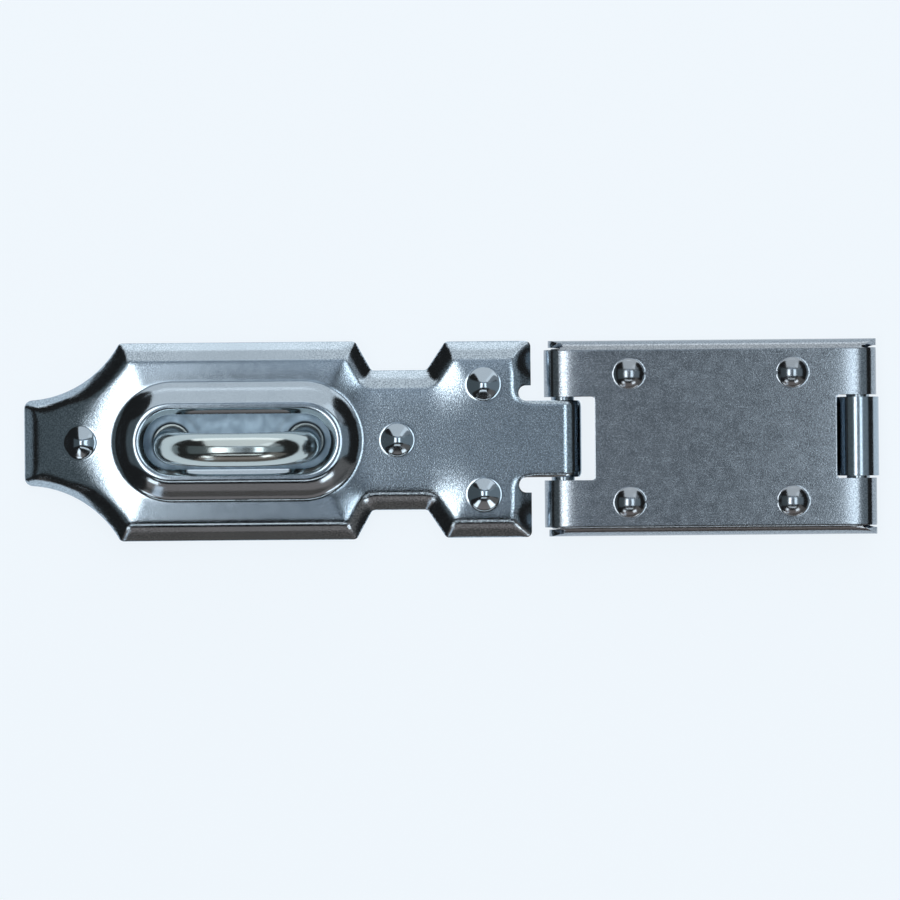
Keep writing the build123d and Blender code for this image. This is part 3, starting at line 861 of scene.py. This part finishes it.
# %% The layers of the finish
CALM_RANGE = (22 * MM, 32 * MM)
CLOUD_SCALE, SPECKLE_SCALE, WEAR_SCALE, GRAIN_SCALE = 90, 3200, 500, 4200
NOISE_RANGE = (0.3, 0.7)
CLOUD_RANGE = (0.48, 0.52)
TINT_RANGE = (0.40, 0.60)
MOTTLE_RANGE = (0.1, 0.7)
WEAR_RANGE = (0.85, 1.2)
CALM_GRAIN = 0.25
GRAIN_DEEP = 0.02 * MM
HAIR_TURNS = (25, 118)
HAIR_SCALE = (120, 4200, 400)
HAIR_RANGE = (0.68, 0.74)
HAIR_DEEP = 0.01 * MM
# Stops round each staple leg: painted shadow in the gap, then full tint, then a slightly darker ring.
LEG_SHADE_STOPS = ((0.0, 0.06), (0.16, 0.12), (0.26, 0.95), (0.50, 1.0), (0.72, 0.80))


def tint(nodes, links, place, from_slot, dark, light, pips, pip_r):
    """The colour: faint clouds beside the slot, and a fine speckle elsewhere."""
    clouds = ranged(nodes, links, noise(nodes, links, place, CLOUD_SCALE, 4), NOISE_RANGE, CLOUD_RANGE)
    speckle = noise(nodes, links, place, SPECKLE_SCALE, 2)
    mottle = ranged(nodes, links, from_slot, CALM_RANGE, MOTTLE_RANGE)
    blend = nodes.new("ShaderNodeMix")
    links.new(off_the_pips(nodes, links, mottle, place, pips, pip_r), blend.inputs["Factor"])
    links.new(clouds, blend.inputs["A"])
    links.new(speckle, blend.inputs["B"])
    ramp = nodes.new("ShaderNodeValToRGB")
    for stop, at, colour in zip(ramp.color_ramp.elements, TINT_RANGE, (dark, light)):
        stop.position = at
        stop.color = (*colour, 1)
    links.new(blend.outputs["Result"], ramp.inputs["Fac"])
    return ramp.outputs["Color"]


def hair_scratches(nodes, links, place, normal, strength):
    """Fine straight grooves in two directions on top of a normal."""
    for turn in HAIR_TURNS:
        turned = node_with(nodes, "ShaderNodeMapping", Rotation=(0, 0, math.radians(turn)), Scale=HAIR_SCALE)
        links.new(place, turned.inputs["Vector"])
        line = nodes.new("ShaderNodeValToRGB")
        for stop, at in zip(line.color_ramp.elements, HAIR_RANGE):
            stop.position = at
        links.new(noise(nodes, links, turned.outputs["Vector"], 1, 1), line.inputs["Fac"])
        groove = node_with(nodes, "ShaderNodeBump", Strength=strength, Distance=HAIR_DEEP)
        groove.invert = True
        links.new(line.outputs["Color"], groove.inputs["Height"])
        links.new(normal, groove.inputs["Normal"])
        normal = groove.outputs["Normal"]
    return normal


# %% The zinc finish
def zinc(name, dark, light, roughness, grain, scratch, pips=(), pip_r=1.0):
    """A plated finish: cloudy tint, fine grain that is calmer beside the slot, and hair scratches."""
    mat = bpy.data.materials.new(name)
    mat.use_nodes = True
    nodes, links = mat.node_tree.nodes, mat.node_tree.links
    shader = nodes["Principled BSDF"]
    shader.inputs["Metallic"].default_value = 1.0
    place = nodes.new("ShaderNodeTexCoord").outputs["Object"]
    from_slot = distance_to(nodes, links, place, (SLOT_X, 0, TOP_Z))
    colour = tint(nodes, links, place, from_slot, dark, light, pips, pip_r)
    links.new(colour, shader.inputs["Base Color"])
    wear = noise(nodes, links, place, WEAR_SCALE, 5)
    smoothest, roughest = WEAR_RANGE
    gloss = ranged(nodes, links, wear, NOISE_RANGE, (roughness * smoothest, roughness * roughest))
    links.new(gloss, shader.inputs["Roughness"])
    bump = node_with(nodes, "ShaderNodeBump", Distance=GRAIN_DEEP)
    strength = ranged(nodes, links, from_slot, CALM_RANGE, (grain * CALM_GRAIN, grain))
    links.new(off_the_pips(nodes, links, strength, place, pips, pip_r), bump.inputs["Strength"])
    links.new(noise(nodes, links, place, GRAIN_SCALE, 2), bump.inputs["Height"])
    normal = hair_scratches(nodes, links, place, bump.outputs["Normal"], scratch)
    links.new(normal, shader.inputs["Normal"])
    return mat


def paint_shade_round_legs(mat):
    """Painted shadow in the gap round each staple leg; outside it a ring of full tint, then a slightly
    darker ring.
    """
    nodes, links = mat.node_tree.nodes, mat.node_tree.links
    tinted = nodes["Principled BSDF"].inputs["Base Color"]
    plain = tinted.links[0].from_socket
    place = nodes.new("ShaderNodeTexCoord").outputs["Object"]
    left, right = [distance_to(nodes, links, place, (leg_x, 0, STAPLE_SHEET)) for leg_x in LEGS_X]
    nearer = combined(nodes, links, "MINIMUM", left, right)
    # This ramp paints shadow into the gap round each leg.
    shade = nodes.new("ShaderNodeValToRGB")
    for place_on, grey in LEG_SHADE_STOPS:
        stop = shade.color_ramp.elements.new(place_on)
        stop.color = (grey, grey, grey, 1)
    links.new(ranged(nodes, links, nearer, (BAR_R, 2 * BAR_R), (0, 1)), shade.inputs["Fac"])
    both = nodes.new("ShaderNodeMix")
    both.data_type = "RGBA"
    both.blend_type = "MULTIPLY"
    both.inputs["Factor"].default_value = 1.0
    links.new(plain, both.inputs["A"])
    links.new(shade.outputs["Color"], both.inputs["B"])
    links.new(both.outputs["Result"], tinted)


# %% Give each piece its finish
# Each finish has its dark and light tint, roughness, depth of grain and depth of scratches.
strap_pips = [(STRAP_AXIS_X - u, y) for u, y in STRAP_PIPS]
strap_tints = (0.28, 0.35, 0.41), (0.49, 0.585, 0.67)
link_tints = (0.25, 0.29, 0.33), (0.38, 0.43, 0.48)
strap_zinc = zinc("strap_zinc", *strap_tints, 0.11, 0.95, 0.12, strap_pips, PIP_D / 2)
link_zinc = zinc("link_zinc", *link_tints, 0.15, 0.6, 0.25, LINK_PIPS, LINK_PIP_D / 2)
base_zinc = zinc("base_zinc", (0.34, 0.42, 0.49), (0.42, 0.50, 0.57), 0.16, 0.3, 0.1)
seat_zinc = zinc("seat_zinc", (0.44, 0.60, 0.73), (0.52, 0.67, 0.80), 0.5, 0.2, 0.05)
# Painted shadow in the gaps round the staple legs.
paint_shade_round_legs(seat_zinc)
pin_zinc = zinc("pin_zinc", (0.32, 0.38, 0.43), (0.38, 0.44, 0.49), 0.2, 0.2, 0.1)
staple_bright = zinc("staple_bright", (0.44, 0.52, 0.53), (0.52, 0.59, 0.60), 0.15, 0.05, 0.05)
finishes = {strap: strap_zinc, link: link_zinc, base: base_zinc, strap_pin: pin_zinc, base_pin: pin_zinc}
finishes.update({plate: seat_zinc, staple: staple_bright})
for piece, finish in finishes.items():
    piece.data.materials.clear()
    piece.data.materials.append(finish)
print("finishes:", sorted(m.name for m in set(finishes.values())))

# %% [markdown]
# ## Floor, light and camera
# The hasp lies on a pale floor under a camera that looks straight down. Bright metal has hardly a colour
# of its own: each slope shows what lies in its mirror direction. So the light is a small room of panels.
# Dim cool ones hang above for the flat faces, two soft boxes beside the camera give the white flashes, a
# pale wall stands behind for the upper slopes, and dim warm panels stand in front for the lower ones.
# Dark gaps between them draw the dark lines.

# %% Floor
FLOOR_HALF = 3.0
PALE = (0.871, 0.930, 0.982)
FLOOR_GLOW = 1.07
MATT_SHARE = 0.15
bpy.ops.object.select_all(action="DESELECT")
bpy.ops.mesh.primitive_plane_add(size=2 * FLOOR_HALF)
floor = added("floor")
paper = bpy.data.materials.new("pale_paper")
paper.use_nodes = True
nodes, links = paper.node_tree.nodes, paper.node_tree.links
nodes.clear()
glow = nodes.new("ShaderNodeEmission")
glow.inputs["Color"].default_value = (*PALE, 1)
glow.inputs["Strength"].default_value = FLOOR_GLOW
matt = nodes.new("ShaderNodeBsdfDiffuse")
matt.inputs["Color"].default_value = (*PALE, 1)
mix = nodes.new("ShaderNodeMixShader")
mix.inputs["Fac"].default_value = MATT_SHARE
out = nodes.new("ShaderNodeOutputMaterial")
links.new(glow.outputs["Emission"], mix.inputs[1])
links.new(matt.outputs["BSDF"], mix.inputs[2])
links.new(mix.outputs["Shader"], out.inputs["Surface"])
floor.data.materials.append(paper)


# %% Lights
MIDDLE = (-57.9 * MM, -2.3 * MM, TOP_Z)
CEILING_BLUE = (0.80, 0.89, 1.0)


def panel(name, place, size, radiance, colour=(1, 1, 1)):
    """A rectangular soft light of a given brightness that faces the hasp. SIZE is (across, along)."""
    light = bpy.data.lights.new(name, "AREA")
    light.shape = "RECTANGLE"
    light.size, light.size_y = size
    light.energy = radiance * math.pi * light.size * light.size_y
    light.color = colour
    obj = bpy.data.objects.new(name, light)
    bpy.context.collection.objects.link(obj)
    obj.location = place
    aim = Vector(MIDDLE) - obj.location
    obj.rotation_euler = aim.to_track_quat("-Z", "Y").to_euler()
    obj.visible_camera = False
    return obj


def overhead(name, x_low, x_high, y_low, y_high, z, radiance):
    """A cool dim panel that faces straight down, given by its edges."""
    middle_of = ((x_low + x_high) / 2, (y_low + y_high) / 2, z)
    lamp = panel(name, middle_of, (x_high - x_low, y_high - y_low), radiance, CEILING_BLUE)
    lamp.rotation_euler = (0, 0, 0)


panel("left_box", (-0.45, 0.0, 1.62), (0.9, 0.26), 3.0)
panel("left_halo", (-0.46, 0.0, 1.61), (1.1, 0.52), 1.1)
panel("left_wall", (-1.08, 0.0, 1.24), (1.4, 1.15), 0.12, (0.80, 0.95, 1.0))
panel("right_box", (0.42, 0.0, 1.62), (1.0, 0.36), 2.1, (0.90, 0.96, 1.0))
panel("right_halo", (0.42, 0.0, 1.60), (1.1, 0.62), 0.28, (0.85, 0.94, 1.0))
panel("right_wall", (1.00, 0.0, 1.22), (1.0, 0.90), 0.30, (0.80, 0.92, 1.0))
panel("right_back", (0.75, 0.75, 1.05), (0.7, 0.6), 0.35, (0.90, 0.95, 1.0))
panel("right_front", (0.85, -0.85, 0.85), (0.7, 0.9), 0.18, (1.0, 0.88, 0.80))
panel("left_low", (-1.40, 0.0, 0.17), (0.9, 0.24), 0.28, (0.80, 0.93, 1.0))
panel("front_window", (-0.54, -1.32, 0.55), (0.22, 0.4), 0.9, (0.82, 0.91, 1.0))
panel("front_right", (0.55, -1.05, 0.90), (0.4, 0.3), 2.2)
panel("front_left", (-0.66, -1.05, 0.90), (0.3, 0.3), 2.0)
panel("front_strip", (MIDDLE[0], -0.75, 1.15), (0.9, 0.12), 1.6)
panel("front_low", (MIDDLE[0], -1.5, 0.25), (2.0, 0.55), 0.12, (1.0, 0.81, 0.69))
panel("front_high", (MIDDLE[0], -1.4, 0.85), (2.0, 0.60), 0.29, (1.0, 0.82, 0.74))
overhead("ceiling", -0.65, 0.55, -0.60, 1.00, 1.95, 0.12)
overhead("ceiling_strap", -0.33, -0.012, -0.60, 1.00, 1.94, 0.08)
overhead("ceiling_back", -0.65, 0.55, 0.42, 1.05, 1.92, 0.22)
overhead("ceiling_neck", -0.13, -0.012, -0.60, 1.00, 1.93, 0.33)
panel("back_high", (0.05, 1.30, 1.10), (1.9, 1.5), 0.95)
panel("back_low", (-0.05, 1.45, 0.20), (1.9, 0.46), 1.5)
world = bpy.data.worlds.new("room")
bpy.context.scene.world = world
world.use_nodes = True
world.node_tree.nodes["Background"].inputs["Color"].default_value = (0.024, 0.023, 0.022, 1)
world.node_tree.nodes["Background"].inputs["Strength"].default_value = 1.0

# %% Camera
CAMERA_H = 1.25
FIELD = 199.4 * MM
ROLL = 0.5
camera_data = bpy.data.cameras.new("camera")
camera = bpy.data.objects.new("camera", camera_data)
bpy.context.collection.objects.link(camera)
camera.location = (MIDDLE[0], MIDDLE[1], CAMERA_H)
camera.rotation_euler = (0, 0, math.radians(-ROLL))
camera_data.sensor_width = 36
camera_data.lens = camera_data.sensor_width * (CAMERA_H - TOP_Z) / FIELD
camera_data.clip_end = 20
bpy.context.scene.camera = camera
bpy.context.scene.view_settings.view_transform = "Standard"
